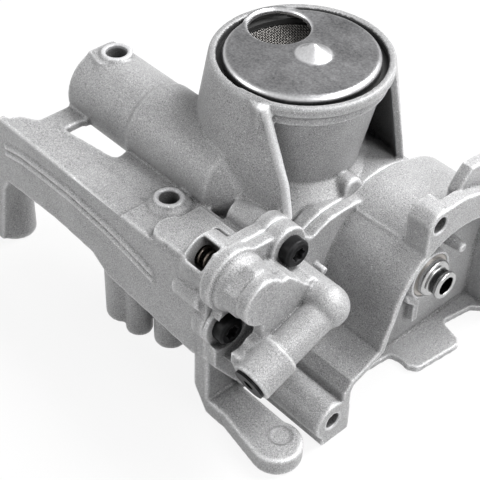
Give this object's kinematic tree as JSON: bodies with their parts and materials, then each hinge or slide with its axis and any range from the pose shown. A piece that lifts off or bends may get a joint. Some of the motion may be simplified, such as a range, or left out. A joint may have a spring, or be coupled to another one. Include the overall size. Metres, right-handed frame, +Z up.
{
  "type": "engine oil pump",
  "caption": "Chain-driven engine oil pump with a round strainer cup, delivery tube, side frame with legs, control valve and sprocket hood.",
  "frame": {"origin": "centre of the drive shaft's free end, at the mouth of its bore", "axes": "+X along the drive shaft out of its free end, +Z up from the mounting plane towards the strainer cup, +Y away from the side frame"},
  "size_m": [0.1858, 0.1489, 0.1221],
  "materials": {
    "cast_aluminium": "die-cast, matte, fine grain",
    "turned_steel": "turned and ground",
    "bearing_bronze": "smooth",
    "sintered_steel": "sintered, ground faces",
    "spring_steel": "dark drawn wire",
    "copper": "plain",
    "black_steel": "black oxide",
    "pressed_steel": "pressed sheet, dark satin",
    "screen_steel": "woven wire",
    "rubber": "moulded"
  },
  "bodies": {
    "pump": {"rear_housing": "cast_aluminium", "front_cover": "cast_aluminium", "front_bush": "bearing_bronze", "rear_bush": "bearing_bronze", "control_spring": "spring_steel", "relief_spring": "spring_steel", "relief_washer": "copper", "relief_plug": "black_steel", "gallery_plug": "black_steel", "strainer_cap": "pressed_steel", "strainer_screen": "screen_steel", "strainer_seal": "rubber", "cover_screws": "black_steel", "cover_dowels": "turned_steel"},
    "shaft": {"drive_shaft": "turned_steel", "rotor_key": "turned_steel", "inner_rotor": "sintered_steel"},
    "ring": {"outer_rotor": "sintered_steel"},
    "control": {"control_piston": "turned_steel"},
    "relief": {"relief_piston": "turned_steel"}
  },
  "joints": [
    {"name": "shaft_spin", "type": "hinge", "parent": "pump", "child": "shaft", "pos_m": [0, 0, 0], "axis": [1, 0, 0], "continuous": true},
    {"name": "ring_spin", "type": "hinge", "parent": "pump", "child": "ring", "pos_m": [0, 0, -0.0026], "axis": [1, 0, 0], "continuous": true},
    {"name": "control_slide", "type": "slide", "parent": "pump", "child": "control", "axis": [-1, 0, 0], "range_m": [0, 0.007], "deforming": ["control_spring"]},
    {"name": "relief_slide", "type": "slide", "parent": "pump", "child": "relief", "axis": [-1, 0, 0], "range_m": [0, 0.005], "deforming": ["relief_spring"]}
  ],
  "couplings": [
    {"joint": "ring_spin", "follows": "shaft_spin", "ratio": 0.85714}
  ]
}
